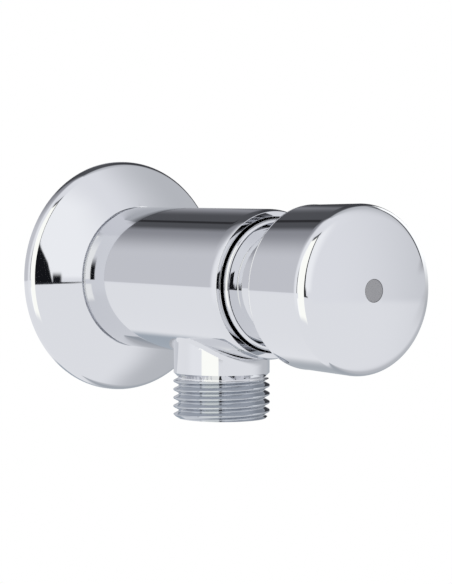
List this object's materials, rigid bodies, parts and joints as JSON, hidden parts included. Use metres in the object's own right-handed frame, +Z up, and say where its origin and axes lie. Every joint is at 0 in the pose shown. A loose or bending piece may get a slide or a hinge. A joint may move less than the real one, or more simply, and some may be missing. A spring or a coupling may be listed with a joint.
{
  "type": "urinal flush valve",
  "caption": "Chromed self-closing push-button urinal flush valve on a round wall plate, with a threaded inlet behind and a threaded outlet pointing down.",
  "frame": {"origin": "on the inlet axis in the plane of the finished wall, where the wall plate's rim touches it", "axes": "+Y along the inlet thread into the wall, -Y out of the wall towards the button, +Z up, with the outlet pointing to -Z"},
  "size_m": [0.0522, 0.102, 0.0556],
  "materials": {
    "chromed_body": "bright nickel-chrome plate on brass",
    "chromed_plate": "bright nickel-chrome plate on pressed sheet",
    "chromed_cap": "bright nickel-chrome plate on brass",
    "grey_plastic": "matt moulded",
    "turned_brass": "turned",
    "stainless_steel": "bright drawn",
    "nitrile_rubber": "moulded",
    "acetal": "moulded",
    "strainer_plastic": "moulded"
  },
  "bodies": {
    "root": {"valve_body": "chromed_body", "wall_plate": "chromed_plate", "inlet_strainer": "strainer_plastic", "regulator_body": "acetal", "regulator_ring": "nitrile_rubber", "cartridge_cage": "acetal", "cage_ring": "nitrile_rubber", "bonnet": "chromed_body", "bonnet_ring": "nitrile_rubber", "stem_seal": "nitrile_rubber", "gland_bush": "acetal", "gland_circlip": "stainless_steel", "return_spring": "stainless_steel"},
    "carriage": {"slip_washer": "stainless_steel"},
    "button": {"stem": "turned_brass", "piston": "turned_brass", "piston_cup": "nitrile_rubber", "cup_retainer": "stainless_steel", "piston_clip": "stainless_steel", "disc_holder": "turned_brass", "disc_washer": "nitrile_rubber", "disc_nut": "turned_brass", "push_cap": "chromed_cap", "cap_screw": "stainless_steel", "cap_plug": "grey_plastic"}
  },
  "joints": [
    {"name": "button_press", "type": "slide", "parent": "root", "child": "carriage", "axis": [0, 1, 0], "range_m": [0, 0.008], "stiffness_N_per_m": 800, "springref_m": -0.01, "deforming": ["return_spring"]},
    {"name": "button_turn", "type": "hinge", "parent": "carriage", "child": "button", "pos_m": [0, 0, 0], "axis": [0, 1, 0], "continuous": true}
  ]
}
